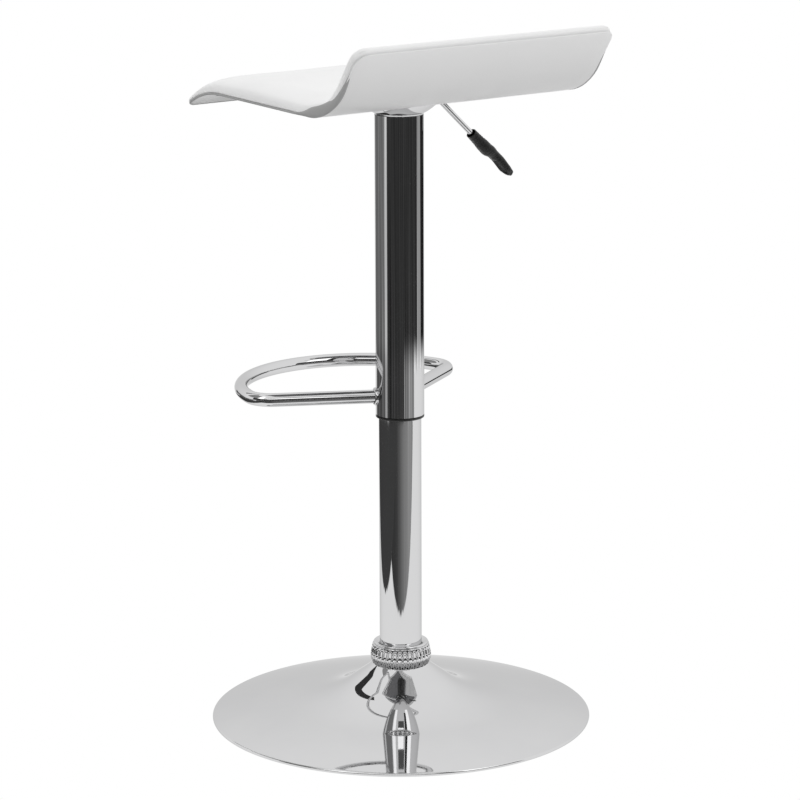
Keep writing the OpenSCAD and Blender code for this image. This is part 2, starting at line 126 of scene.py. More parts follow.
def add_object(name, verts, faces, material, smooth_faces=True, sharp=None):
    mesh = bpy.data.meshes.new(name)
    mesh.from_pydata([tuple(v) for v in verts], [], faces)
    mesh.validate()
    mesh.update()
    if smooth_faces:
        mesh.polygons.foreach_set("use_smooth", [True] * len(mesh.polygons))
    if sharp is not None:
        mesh.set_sharp_from_angle(angle=math.radians(sharp))
    piece = bpy.data.objects.new(name, mesh)
    scene.collection.objects.link(piece)
    mesh.materials.append(material)
    return piece


def place(piece, body, replaces=()):
    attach(piece, body)
    if replaces:
        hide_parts(*replaces)
    return piece


def loft(loops, closed_loops=True, closed_path=False, caps=True):
    """Vertices and faces of a skin over loops that all have the same number of points."""
    count = len(loops[0])
    verts = [p for loop in loops for p in loop]
    faces = []
    rows = len(loops) if closed_path else len(loops) - 1
    cols = count if closed_loops else count - 1
    for i in range(rows):
        a = i * count
        b = ((i + 1) % len(loops)) * count
        for j in range(cols):
            k = (j + 1) % count
            faces.append((a + j, b + j, b + k, a + k))
    if caps and not closed_path:
        faces.append(tuple(range(count)))
        faces.append(tuple(range(len(verts) - 1, len(verts) - count - 1, -1)))
    return verts, faces


def lathe(name, profile, material, turns=COLUMN_TURNS, closed=True, sharp=35, wave=None):
    """Solid of revolution about the column axis. profile is a list of (radius, height)."""
    loops = []
    for i in range(turns):
        a = math.tau * i / turns
        loop = []
        for r, z in profile:
            rr = r + (wave(a, z) if wave else 0.0)
            loop.append(Vector((rr * math.cos(a), rr * math.sin(a), z)))
        loops.append(loop)
    verts, faces = loft(loops, closed_loops=closed, closed_path=True)
    return add_object(name, verts, faces, material, sharp=sharp)


def tube_loops(path, radius, sides):
    """Rings of a round tube along a path of points; radius is a number or a function of share."""
    rings = []
    up = Vector((0, 0, 1))
    for i, p in enumerate(path):
        before = path[max(i - 1, 0)]
        after = path[min(i + 1, len(path) - 1)]
        d = (after - before).normalized()
        side = d.cross(up)
        if side.length < 1e-6:
            side = d.cross(Vector((0, 1, 0)))
        side.normalize()
        top = side.cross(d)
        r = radius(i / (len(path) - 1)) if callable(radius) else radius
        rings.append([p + r * (math.cos(t) * side + math.sin(t) * top)
                      for t in (math.tau * j / sides for j in range(sides))])
    return rings


def arc(centre, radius, start, end, count):
    """Points on an arc in a plane, as pairs."""
    return [(centre[0] + radius * math.cos(mix(start, end, i / count)),
             centre[1] + radius * math.sin(mix(start, end, i / count))) for i in range(count + 1)]


# ---------------------------------------------------------------- materials
class Nodes:
    """Short way to build one procedural material."""

    def __init__(self, name, color, metallic=0.0, roughness=0.5):
        self.material = bpy.data.materials.new(name)
        self.material.use_nodes = True
        self.tree = self.material.node_tree
        self.shader = self.tree.nodes["Principled BSDF"]
        self.shader.inputs["Base Color"].default_value = (*color, 1)
        self.shader.inputs["Metallic"].default_value = metallic
        self.shader.inputs["Roughness"].default_value = roughness
        self.coords = self.tree.nodes.new("ShaderNodeTexCoord").outputs["Object"]
        self.material.diffuse_color = (*color, 1)

    def link(self, a, b):
        self.tree.links.new(a, b)

    def stretched(self, scale):
        node = self.tree.nodes.new("ShaderNodeMapping")
        node.inputs["Scale"].default_value = scale
        self.link(self.coords, node.inputs["Vector"])
        return node.outputs["Vector"]

    def noise(self, scale, detail=3.0, roughness=0.5, stretch=None):
        node = self.tree.nodes.new("ShaderNodeTexNoise")
        node.inputs["Scale"].default_value = scale
        node.inputs["Detail"].default_value = detail
        node.inputs["Roughness"].default_value = roughness
        self.link(self.stretched(stretch) if stretch else self.coords, node.inputs["Vector"])
        return node.outputs["Fac"]

    def cells(self, scale, feature="F1"):
        node = self.tree.nodes.new("ShaderNodeTexVoronoi")
        node.feature = feature
        node.inputs["Scale"].default_value = scale
        self.link(self.coords, node.inputs["Vector"])
        return node.outputs["Distance"]

    def span(self, value, low, high, from_low=0.3, from_high=0.7):
        node = self.tree.nodes.new("ShaderNodeMapRange")
        node.inputs["From Min"].default_value = from_low
        node.inputs["From Max"].default_value = from_high
        node.inputs["To Min"].default_value = low
        node.inputs["To Max"].default_value = high
        self.link(value, node.inputs["Value"])
        return node.outputs["Result"]

    def blend(self, factor, first, second):
        node = self.tree.nodes.new("ShaderNodeMix")
        node.data_type = "RGBA"
        node.inputs[6].default_value = (*first, 1)
        node.inputs[7].default_value = (*second, 1)
        self.link(factor, node.inputs[0])
        return node.outputs[2]

    def color(self, factor, first, second):
        self.link(self.blend(factor, first, second), self.shader.inputs["Base Color"])

    def rough(self, factor, low, high):
        self.link(self.span(factor, low, high), self.shader.inputs["Roughness"])

    def bump(self, height, distance, strength=1.0):
        node = self.tree.nodes.new("ShaderNodeBump")
        node.inputs["Distance"].default_value = distance
        node.inputs["Strength"].default_value = strength
        self.link(height, node.inputs["Height"])
        if self.shader.inputs["Normal"].is_linked:
            self.link(self.shader.inputs["Normal"].links[0].from_socket, node.inputs["Normal"])
        self.link(node.outputs["Normal"], self.shader.inputs["Normal"])


def chrome(name, tone, smudge=0.05, ripple=0.0):
    n = Nodes(name, (tone, tone, tone * 1.005), metallic=1.0, roughness=0.03)
    wipe = n.noise(9, detail=5, roughness=0.6, stretch=(1.0, 1.0, 0.35))
    n.color(n.span(wipe, 0, 1), (tone, tone, tone * 1.005), (tone * 0.96, tone * 0.96, tone * 0.97))
    n.rough(n.noise(26, detail=6, roughness=0.65), 0.012, 0.012 + smudge)
    if ripple:
        n.bump(n.noise(11, detail=1.0, stretch=(1.0, 1.0, 0.3)), ripple, 1.0)
    n.bump(n.noise(900, detail=2), 0.0000015, 0.6)
    n.shader.inputs["Specular Tint"].default_value = (0.72, 0.72, 0.72, 1)
    return n.material


def vinyl_surface(n, grain, rough):
    n.rough(n.noise(30, detail=4), *rough)
    n.bump(n.cells(620, "SMOOTH_F1"), 0.00012 * grain, 0.55)
    n.bump(n.noise(240, detail=4, roughness=0.6), 0.00010 * grain, 0.5)
    n.bump(n.noise(16, detail=2), 0.0006, 0.25)
    n.shader.inputs["Specular IOR Level"].default_value = 0.42
    return n.material


def vinyl(name, color, grain=1.0, rough=(0.36, 0.5)):
    n = Nodes(name, color, roughness=0.42)
    dark = tuple(c * 0.965 for c in color)
    n.color(n.span(n.noise(7, detail=4), 0, 1), color, dark)
    return vinyl_surface(n, grain, rough)


def back_vinyl(name):
    """White vinyl of the back face, with painted shade: darker low down and darker still under the front
    lip.
    """
    n = Nodes(name, (0.88, 0.88, 0.88), roughness=0.42)
    split = n.tree.nodes.new("ShaderNodeSeparateXYZ")
    n.link(n.coords, split.inputs["Vector"])
    # Painted shade: this mask darkens the colour towards the bottom of the back face.
    height = n.span(split.outputs["Z"], 0, 1, 0.748, 0.826)
    # Painted shade under the front lip: this mask darkens the colour further towards the front.
    front = n.span(split.outputs["Y"], 1, 0, -0.165, -0.100)
    painted_height_shade = n.blend(height, (0.74, 0.74, 0.74), (0.96, 0.96, 0.96))
    lip = n.tree.nodes.new("ShaderNodeMix")
    lip.data_type = "RGBA"
    lip.inputs[7].default_value = (0.56, 0.56, 0.56, 1)
    n.link(painted_height_shade, lip.inputs[6])
    n.link(front, lip.inputs[0])
    n.link(lip.outputs[2], n.shader.inputs["Base Color"])
    return vinyl_surface(n, 1.0, (0.36, 0.5))


def cloth(name, color):
    n = Nodes(name, color, roughness=0.85)
    lighter = tuple(c * 1.5 for c in color)
    weave = n.noise(900, detail=2, stretch=(1.0, 0.3, 1.0))
    n.color(n.span(weave, 0, 1), color, lighter)
    n.rough(n.noise(60, detail=3), 0.78, 0.92)
    n.bump(weave, 0.0001, 0.7)
    return n.material


def plastic(name, color, rough, grain_scale, grain_depth):
    n = Nodes(name, color, roughness=rough)
    lighter = tuple(c + 0.014 for c in color)
    n.color(n.span(n.noise(60, detail=4), 0, 1), color, lighter)
    n.shader.inputs["Specular IOR Level"].default_value = 0.36
    n.rough(n.noise(140, detail=3), rough - 0.08, rough + 0.1)
    n.bump(n.cells(grain_scale, "SMOOTH_F1"), grain_depth, 0.8)
    n.bump(n.noise(grain_scale * 1.7, detail=3), grain_depth * 0.6, 0.6)
    return n.material


def metal(name, color, rough, stretch, depth):
    n = Nodes(name, color, metallic=1.0, roughness=rough)
    darker = tuple(c * 0.8 for c in color)
    n.color(n.span(n.noise(40, detail=5, roughness=0.6), 0, 1), color, darker)
    brushed = n.noise(160, detail=4, roughness=0.7, stretch=stretch)
    n.rough(brushed, rough - 0.06, rough + 0.14)
    n.bump(brushed, depth, 0.5)
    return n.material


def paint(name, color, rough):
    n = Nodes(name, color, roughness=rough)
    worn = tuple(c + 0.05 for c in color)
    n.color(n.span(n.noise(90, detail=6, roughness=0.7), 0, 1, 0.55, 0.75), color, worn)
    n.rough(n.noise(50, detail=3), rough - 0.08, rough + 0.12)
    n.bump(n.noise(420, detail=2), 0.00006, 0.6)
    n.shader.inputs["Coat Weight"].default_value = 0.2
    n.shader.inputs["Coat Roughness"].default_value = 0.25
    return n.material


def casting(name, color):
    n = Nodes(name, color, metallic=0.6, roughness=0.7)
    n.color(n.span(n.noise(120, detail=6, roughness=0.7), 0, 1), color, (0.20, 0.15, 0.12))
    n.rough(n.noise(80, detail=4), 0.6, 0.85)
    n.bump(n.noise(380, detail=5, roughness=0.7), 0.0003, 0.8)
    return n.material


def wood(name, color, dark):
    n = Nodes(name, color, roughness=0.6)
    grain = n.noise(28, detail=6, roughness=0.65, stretch=(0.25, 3.0, 10.0))
    n.color(n.span(grain, 0, 1, 0.35, 0.65), color, dark)
    n.rough(grain, 0.5, 0.72)
    n.bump(grain, 0.0002, 0.5)
    return n.material


def make_materials():
    return {
        "chrome": chrome("chrome", 0.675, ripple=0.00006),
        "base_chrome": chrome("base_chrome", 0.675, smudge=0.035),
        "lever_chrome": chrome("lever_chrome", 0.72, smudge=0.12),
        "white_vinyl": vinyl("white_vinyl", (0.92, 0.92, 0.92)),
        # White vinyl of the back face, with painted shade low down and under the front lip.
        "back_vinyl": back_vinyl("back_vinyl"),
        "dust_cloth": cloth("dust_cloth", (0.16, 0.16, 0.165)),
        # Grey vinyl piping, darkened beyond its own grey as painted shade along the seam under the pad.
        "edge_vinyl": vinyl("edge_vinyl", (0.40, 0.40, 0.40), grain=1.6, rough=(0.4, 0.6)),
        "grip_plastic": plastic("grip_plastic", (0.003, 0.003, 0.003), 0.40, 620, 0.0005),
        "black_bush": plastic("black_bush", (0.012, 0.012, 0.012), 0.4, 1500, 0.00003),
        "white_bush": plastic("white_bush", (0.78, 0.77, 0.72), 0.4, 1500, 0.00003),
        "rubber": plastic("rubber", (0.022, 0.022, 0.022), 0.75, 600, 0.0001),
        "dark_steel": metal("dark_steel", (0.20, 0.20, 0.21), 0.42, (1.0, 1.0, 8.0), 0.00004),
        "bright_steel": metal("bright_steel", (0.60, 0.60, 0.60), 0.25, (8.0, 8.0, 1.0), 0.00002),
        "zinc": metal("zinc", (0.60, 0.62, 0.66), 0.35, (3.0, 3.0, 3.0), 0.00002),
        "brass": metal("brass", (0.72, 0.52, 0.22), 0.3, (6.0, 6.0, 1.0), 0.00002),
        "cast_iron": casting("cast_iron", (0.10, 0.10, 0.105)),
        "plate_paint": paint("plate_paint", (0.018, 0.018, 0.018), 0.38),
        "plywood": wood("plywood", (0.60, 0.43, 0.26), (0.38, 0.24, 0.13)),
    }


# ---------------------------------------------------------------- base and column
def disc_z(r):
    edge = BASE_R - BEAD_R
    return BEAD_Z + BEAD_R + DISC_RISE * (1 - (r / edge) ** DISC_POWER)


def disc_rate(r):
    edge = BASE_R - BEAD_R
    return DISC_RISE * DISC_POWER / edge * (r / edge) ** (DISC_POWER - 1)


def flank_z(r):
    return CONE_TOP_Z - NECK_RISE + (NECK_R - r) * FLANK_RATE


def turn(a, b, c, count):
    """Points of the curve that leaves a towards b and arrives at c."""
    out = []
    for i in range(count + 1):
        k = i / count
        out.append(tuple(mix(mix(a[n], b[n], k), mix(b[n], c[n], k), k) for n in (0, 1)))
    return out


def build_base_cover(material):
    edge = BASE_R - BEAD_R
    rate = disc_rate(BEND_R)
    cross = (flank_z(0) - disc_z(BEND_R) - rate * BEND_R) / (FLANK_RATE - rate)
    bead = arc((edge, BEAD_Z), BEAD_R, math.radians(-200), math.radians(88), 20)
    disc = [(r, disc_z(r)) for r in (mix(edge - 0.001, BEND_R, i / 70) for i in range(70))]
    bend = turn((BEND_R, disc_z(BEND_R)), (cross, flank_z(cross)), (FLANK_R, flank_z(FLANK_R)), 60)
    flank = [(r, flank_z(r)) for r in (mix(FLANK_R, NECK_R, i / 12) for i in range(1, 12))]
    neck = turn((NECK_R, flank_z(NECK_R)), (NECK_MID_R, flank_z(NECK_MID_R)),
                (CONE_TOP_R, CONE_TOP_Z), 16)
    outside = disc + bend + flank + neck
    inside = [(r - 0.0007, z - 0.0014) for r, z in reversed(outside)]
    cover = lathe("base_cover_shell", bead + outside + inside, material, turns=320, sharp=50)
    place(cover, "base", ["base_cover"])


def build_collar(material):
    """Fluted collar: a short taper with fine flutes, a leaning band with deep ones, and a round lip."""
    low, high = (Vector(corner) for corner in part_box("column_collar"))
    r, z0 = high.x - 0.0004, low.z
    bore = 0.0252
    flutes, turns_per_flute = 36, 24
    fluted_from = 0.0332

    def groove(a, z):
        across = r * (((a * flutes / math.tau) + 0.5) % 1 - 0.5) * math.tau / flutes
        if z - z0 < 0.0079:
            share = 1 - (across / 0.0023) ** 2
            return -0.0012 * math.sqrt(share) if share > 0 else 0.0
        along = (z - z0 - 0.0162) / 0.0068
        share = 1 - (across / 0.0027) ** 2 - along ** 4
        return -0.0018 * math.sqrt(share) if share > 0 else 0.0

    taper = [(mix(0.0336, r, i / 8), z0 + 0.0075 * i / 8) for i in range(9)]
    step = [(r - 0.0007, z0 + 0.0079), (r - 0.0007, z0 + 0.0086), (r, z0 + 0.009)]
    band = [(r - 0.0026 * (i / 20) ** 1.3, z0 + mix(0.0092, 0.0232, i / 20)) for i in range(21)]
    round_top = [(0.0330, z0 + 0.0237), (0.0322, z0 + 0.0239)]
    bevel = arc((0.0308, z0 + 0.0249), 0.0017, math.radians(-30), math.radians(120), 9)
    inner = [(0.0282, z0 + 0.0262), (0.0268, z0 + 0.0250), (bore, z0 + 0.0246), (bore, z0)]
    profile = taper + step + band + round_top + bevel + inner

    loops = []
    turns = flutes * turns_per_flute
    for i in range(turns):
        a = math.tau * i / turns
        radii = [x + groove(a, z) if x > fluted_from else x for x, z in profile]
        loops.append([Vector((x * math.cos(a), x * math.sin(a), z)) for x, (_, z) in zip(radii, profile)])
    verts, faces = loft(loops, closed_loops=True, closed_path=True)
    collar = add_object("fluted_collar", verts, faces, material, sharp=40)
    place(collar, "base", ["column_collar"])


def build_tube(name, node, wall, body, material, edge=0.0006):
    low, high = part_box(node)
    r = high[0]
    z0, z1 = low[2], high[2]
    outer = ([(r - edge, z0)] + [(r, mix(z0 + edge, z1 - edge, i / 24)) for i in range(25)]
             + [(r - edge, z1), (r - wall, z1), (r - wall, z0)])
    place(lathe(name, outer, material, sharp=30), body, [node])


def build_bush(material):
    low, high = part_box("tube_bush")
    r = high[0]
    z0 = low[2]
    lip = ([(0.0254, z0 + 0.0006), (0.0262, z0)] + arc((r - 0.0012, z0 + 0.0012), 0.0012, -math.pi / 2, 0, 5)
           + [(r, z0 + 0.0028), (0.0269, z0 + 0.003), (0.0269, z0 + 0.040), (0.0254, z0 + 0.040)])
    place(lathe("tube_bush_ring", lip, material, sharp=40), "lift", ["tube_bush"])


def build_bell(material):
    r0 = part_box("outer_tube")[1][0]
    z0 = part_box("outer_tube")[1][2]
    rise = [(r0 - 0.0015, z0), (r0, z0), (r0 + 0.0006, z0 + 0.0012)]
    flare = [(mix(r0 + 0.001, 0.0452, k), z0 + 0.0016 + 0.0110 * k ** 1.25)
             for k in (i / 14 for i in range(15))]
    loops = []
    for i in range(192):
        a = math.tau * i / 192
        top = SEAT_Z - 0.0031 + math.sin(a) * 0.046 * math.sin(SEAT_TILT)
        lip = [(0.0460, z0 + 0.0138), (0.0460, top), (0.0446, top), (0.0446, z0 + 0.0142)]
        back = [(r - 0.0006, z + 0.0014) for r, z in reversed(flare)]
        loops.append([Vector((r * math.cos(a), r * math.sin(a), z)) for r, z in rise + flare + lip + back])
    verts, faces = loft(loops, closed_loops=True, closed_path=True)
    place(add_object("seat_bell", verts, faces, material, sharp=40), "lift", ["top_bell"])


def hoop_path():
    arm = Vector((math.sin(HOOP_ARM), -math.cos(HOOP_ARM)))
    front = Vector((-math.cos(HOOP_ARM), -math.sin(HOOP_ARM)))
    start = HOOP_BEND * front - Vector((0, HOOP_SWEEP_Y))
    b = start.dot(arm)
    reach = HOOP_SWEEP - HOOP_BEND
    length = -b + math.sqrt(b * b - start.dot(start) + reach * reach)
    bend = length * arm + HOOP_BEND * front
    meet = math.atan2(bend.y - HOOP_SWEEP_Y, bend.x)
    straight = [tuple(arm * mix(0.0262, length, i / 8)) for i in range(8)]
    corner = arc(bend, HOOP_BEND, HOOP_ARM, meet, 20)
    sweep = arc((0, HOOP_SWEEP_Y), HOOP_SWEEP, meet, -math.pi / 2, 32)
    half = straight + corner[:-1] + sweep
    return half + [(-x, y) for x, y in reversed(half[:-1])], arm


def build_hoop(material):
    low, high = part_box("footrest_hoop")
    z = (low[2] + high[2]) / 2
    points, arm = hoop_path()
    rings = tube_loops([Vector((x, y, z)) for x, y in points], HOOP_R, 40)
    verts, faces = loft(rings)
    ring = add_object("footrest_ring", verts, faces, material, sharp=60)
    place(ring, "lift", ["footrest_hoop"])
    tube_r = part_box("outer_tube")[1][0]
    for side in (-1, 1):
        d = Vector((side * arm.x, arm.y, 0))
        across = Vector((-d.y, d.x, 0))
        loops = []
        for i in range(10):
            t = math.pi * i / 9
            wide = HOOP_R + 0.0004 + 0.0020 * math.sin(t)
            along = 0.0021 * math.cos(t)
            loop = []
            for j in range(48):
                q = math.tau * j / 48
                off = wide * math.cos(q)
                reach = math.sqrt(tube_r * tube_r - off * off) + 0.0009 + along
                ripple = 1 + 0.02 * math.sin(q * 17 + i)
                loop.append(d * reach + across * off * ripple
                            + Vector((0, 0, z + wide * ripple * math.sin(q))))
            loops.append(loop)
        verts, faces = loft(loops, caps=False)
        name = "weld_left" if side > 0 else "weld_right"
        place(add_object(name, verts, faces, material), "lift")


# ---------------------------------------------------------------- lever
def along_lever(distance, sideways=0.0, below=0.0):
    """Point at a distance from the lever's bend, on its outer part."""
    d = Vector((-math.cos(LEVER_SLOPE), 0, -math.sin(LEVER_SLOPE)))
    down = Vector((math.sin(LEVER_SLOPE), 0, -math.cos(LEVER_SLOPE)))
    return Vector((LEVER_BEND_X, 0, LEVER_Z)) + d * distance + Vector((0, sideways, 0)) + down * below


def build_lever(material):
    run = LEVER_BEND_R * math.tan(LEVER_SLOPE / 2)
    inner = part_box("lever_rod")[1][0]
    path = [Vector((mix(inner, LEVER_BEND_X + run, i / 6), 0, LEVER_Z)) for i in range(6)]
    bend = arc((LEVER_BEND_X + run, LEVER_Z - LEVER_BEND_R), LEVER_BEND_R, math.pi / 2,
               math.pi / 2 + LEVER_SLOPE, 14)
    path += [Vector((x, 0, z)) for x, z in bend]
    path += [along_lever(mix(run, GRIP_START + 0.03, i / 12)) for i in range(1, 13)]
    rings = []
    for i, p in enumerate(path):
        d = (path[min(i + 1, len(path) - 1)] - path[max(i - 1, 0)]).normalized()
        side = Vector((0, 1, 0))
        top = side.cross(d)
        rings.append([p + LEVER_R * (math.cos(t) * side + math.sin(t) * top)
                      for t in (math.tau * j / 32 for j in range(32))])
    end = [p + (q - p) * 0.8 for p in (path[0],) for q in rings[0]]
    rings = [[v + Vector((0.0004, 0, 0)) for v in end]] + rings
    verts, faces = loft(rings)
    lever = add_object("release_lever", verts, faces, material, sharp=50)
    place(lever, "lever", ["lever_rod"])


def build_grip(material):
    """Moulded grip: an open sleeve, a swelling, a waist, and a flattened paddle dished below."""
    wide = [(0.0, 0.0062), (0.012, 0.0066), (0.026, 0.0078), (0.034, 0.0074), (0.044, 0.0066),
            (0.058, 0.0082), (0.070, 0.0085), (0.078, 0.0066), (GRIP_LEN, 0.0024)]
    deep = [(0.0, 0.0060), (0.012, 0.0064), (0.024, 0.0074), (0.034, 0.0076), (0.044, 0.0060),
            (0.056, 0.0058), (0.068, 0.0056), (0.077, 0.0046), (GRIP_LEN, 0.0018)]
    sides = 56

    def ring(x, w, h, dish=0.0, lift=0.0, flat=1.0):
        loop = []
        for j in range(sides):
            t = math.tau * j / sides
            c, s = math.cos(t), math.sin(t)
            sideways = w * math.copysign(abs(c) ** flat, c)
            below = h * math.copysign(abs(s) ** flat, s)
            if below > 0 and dish:
                share = 1 - clamp(abs(sideways) / (w * 0.74)) ** 3
                below -= dish * share
            loop.append(along_lever(GRIP_START + x, sideways, below + lift))
        return loop

    loops = [ring(0.014, LEVER_R + 0.0002, LEVER_R + 0.0002), ring(0.013, 0.0046, 0.0046),
             ring(0.0012, 0.0049, 0.0047), ring(0.0, 0.0054, 0.0052)]
    stations = 60
    for i in range(stations + 1):
        x = GRIP_LEN * (1 - (1 - i / stations) ** 1.15)
        w = curve_through(wide, x)
        h = curve_through(deep, x)
        dish = 0.0044 * smooth((x - 0.047) / 0.008) * smooth((0.0795 - x) / 0.006)
        ridge = 0.00025 * math.sin(x * 2400) * smooth((x - 0.004) / 0.003) * smooth((0.022 - x) / 0.003)
        lift = 0.0016 * smooth((x - 0.030) / 0.012) * smooth((0.072 - x) / 0.02)
        loops.append(ring(x, w + ridge, h + ridge, dish, -lift, 0.86))
    verts, faces = loft(loops, caps=False)
    last = len(verts) - sides
    faces.append(tuple(range(len(verts) - 1, last - 1, -1)))
    handle = add_object("lever_handle", verts, faces, material, sharp=60)
    place(handle, "lever", ["lever_grip"])


# ---------------------------------------------------------------- seat
FRONT_LEN = FRONT_R * FRONT_ANGLE
FLAT_LEN = FLAT_BACK - FLAT_FRONT
BEND_LEN = BACK_R * BACK_ANGLE
FLARE_LEN = FLARE_R * FLARE_ANGLE
SEAT_LEN = FRONT_LEN + FLAT_LEN + BEND_LEN + BACK_RISE + FLARE_LEN


def seat_profile(s, t):
    """Local (y, z) at distance s from the front tip, at height t above the underside."""
    if s < 0:
        y, z = seat_profile(0, t)
        return y + s * math.cos(FRONT_ANGLE), z + s * math.sin(FRONT_ANGLE)
    if s <= FRONT_LEN:
        a = math.pi / 2 + FRONT_ANGLE * (1 - s / FRONT_LEN)
        return FLAT_FRONT + (FRONT_R + t) * math.cos(a), -FRONT_R + (FRONT_R + t) * math.sin(a)
    s -= FRONT_LEN
    if s <= FLAT_LEN:
        return FLAT_FRONT + s, t
    s -= FLAT_LEN
    if s <= BEND_LEN:
        a = -math.pi / 2 + s / BACK_R
        return FLAT_BACK + (BACK_R - t) * math.cos(a), BACK_R + (BACK_R - t) * math.sin(a)
    s -= BEND_LEN
    a = -math.pi / 2 + BACK_ANGLE
    rise = Vector((math.cos(BACK_ANGLE), math.sin(BACK_ANGLE)))
    start = Vector((FLAT_BACK + BACK_R * math.cos(a), BACK_R + BACK_R * math.sin(a)))
    out = Vector((math.sin(BACK_ANGLE), -math.cos(BACK_ANGLE)))
    if s <= BACK_RISE:
        p = start + rise * s - out * t
        return p.x, p.y
    centre = start + rise * BACK_RISE + out * FLARE_R
    a = math.pi / 2 + BACK_ANGLE - min(s - BACK_RISE, FLARE_LEN) / FLARE_R
    p = centre + (FLARE_R + t) * Vector((math.cos(a), math.sin(a)))
    extra = max(0.0, s - BACK_RISE - FLARE_LEN)
    p += extra * Vector((math.sin(a), -math.cos(a)))
    return p.x, p.y


def seat_point(s, x, t):
    y, z = seat_profile(s, t)
    c, n = math.cos(SEAT_TILT), math.sin(SEAT_TILT)
    return Vector((x, y * c - z * n, SEAT_Z + y * n + z * c))


def half_width(s, inset=0.0):
    """Half width of the seat's outline at s, with rounded corners."""
    w = SEAT_HALF_W - inset
    s0, s1 = s - inset, SEAT_LEN - inset - s
    for d, r in ((s0, FRONT_CORNER), (s1, BACK_CORNER)):
        r -= inset * 0.5
        if d < r:
            d = max(d, 0.0)
            return w - r + math.sqrt(max(r * r - (r - d) * (r - d), 0.0))
    return w


PAD_LIP = [(0.0, 0.0060), (0.215, 0.0066), (0.262, 0.0115), (0.300, 0.0148), (SEAT_LEN, 0.0150)]
PAD_ROUND = [(0.0, 0.0045), (0.215, 0.0045), (0.290, 0.0070), (SEAT_LEN, 0.0080)]
CROWN = [(0.0, 0.0035), (0.040, 0.0120), (0.110, 0.0145), (0.225, 0.0120), (0.290, 0.0020), (SEAT_LEN, 0.0)]


def edge_distance(s, x, inset):
    """Distance in from the rounded outline of the seat."""
    r = (FRONT_CORNER if s < SEAT_LEN / 2 else BACK_CORNER)
    qx = abs(x) - (SEAT_HALF_W - inset - r)
    qs = abs(s - SEAT_LEN / 2) - (SEAT_LEN / 2 - inset - r)
    return r - math.hypot(max(qx, 0.0), max(qs, 0.0)) - min(max(qx, qs), 0.0)


def rounding(d, r):
    k = 1 - clamp(d / r)
    return math.sqrt(max(1 - k * k, 0.0))


def soft_folds(s, x):
    """Shallow unevenness of the stretched cover, strongest where the seat bends."""
    p = Vector((x * 17, s * 9, 3.0))
    even = noise.noise(p) * 0.00035
    bend = smooth((s - 0.20) / 0.05) * smooth((0.31 - s) / 0.05)
    crease = noise.noise(Vector((x * 8 + 2 * s, s * 75, 7.5))) * 0.00045 * bend
    near = 1 - clamp(edge_distance(s, x, 0) / 0.045)
    pucker = noise.noise(Vector((s * 130, x * 22, 1.5))) * 0.00035 * near * near
    return even + crease + pucker


def pad_heights(s, x, inset):
    """Lower and upper face of the pad above the seat's underside."""
    d = max(edge_distance(s, x, inset), 0.0)
    lip = curve_through(PAD_LIP, s)
    low = RIM_T - 0.0003
    edge = curve_through(PAD_ROUND, s)
    middle = mix(low, lip, 0.42)
    side = half_width(s, inset) - abs(x)
    crown = curve_through(CROWN, s) * rounding(side, 0.050) ** 0.9 * rounding(s - inset, 0.055)
    crown *= rounding(SEAT_LEN - s, 0.060)
    top = middle + (lip - middle) * rounding(d, edge) + crown
    top += soft_folds(s, x) * smooth(d / 0.012)
    bottom = middle - (middle - low) * rounding(d, edge * 0.7)
    return bottom, top


def seat_grid(inset, rows, cols):
    """Stations (s, half width values) of the outline, close together near the edges."""
    for i in range(rows + 1):
        s = mix(inset, SEAT_LEN - inset, 0.5 - 0.5 * math.cos(math.pi * i / rows))
        w = half_width(s, inset)
        yield s, [w * math.sin(math.pi / 2 * (2 * j / cols - 1)) for j in range(cols + 1)]


def build_shell_piece(name, material, inset, rows, cols, heights):
    """Closed skin over the seat's outline; heights gives its lower and upper face."""
    top, bottom = [], []
    for s, xs in seat_grid(inset, rows, cols):
        pair = [heights(s, x, inset) for x in xs]
        top.append([seat_point(s, x, h[1]) for x, h in zip(xs, pair)])
        bottom.append([seat_point(s, x, h[0]) for x, h in zip(xs, pair)])
    n = cols + 1
    verts = [p for row in top for p in row] + [p for row in bottom for p in row]
    base = len(top) * n
    faces = []
    for i in range(rows):
        for j in range(cols):
            a = i * n + j
            faces.append((a, a + 1, a + n + 1, a + n))
            faces.append((base + a, base + a + n, base + a + n + 1, base + a + 1))
    rim = (list(range(n)) + [i * n + cols for i in range(1, rows + 1)]
           + [rows * n + j for j in range(cols - 1, -1, -1)] + [i * n for i in range(rows - 1, 0, -1)])
    for k, a in enumerate(rim):
        b = rim[(k + 1) % len(rim)]
        faces.append((b, a, base + a, base + b))
    return add_object(name, verts, faces, material)


def build_pad(material):
    pad = build_shell_piece("seat_cushion", material, 0.0002, 150, 120, pad_heights)
    place(pad, "lift", ["seat_pad"])


def build_back_cover(material):
    def heights(s, x, inset):
        d = max(edge_distance(s, x, inset), 0.0)
        rise = smooth((s - 0.24) / 0.04)
        middle = RIM_T * 0.62
        puff = 0.0007 * rise * rounding(d, 0.05) + soft_folds(s, x) * 0.5 * rise
        low = mix(0.0, -puff, smooth(d / 0.02))
        edge = mix(0.0030, 0.0075, rise)
        return middle - (middle - low) * rounding(d, edge), middle + (RIM_T - middle) * 0.4

    cover = build_shell_piece("seat_back_cover", material, 0.0008, 120, 90, heights)
    place(cover, "lift", ["seat_cover", "seat_shell"])


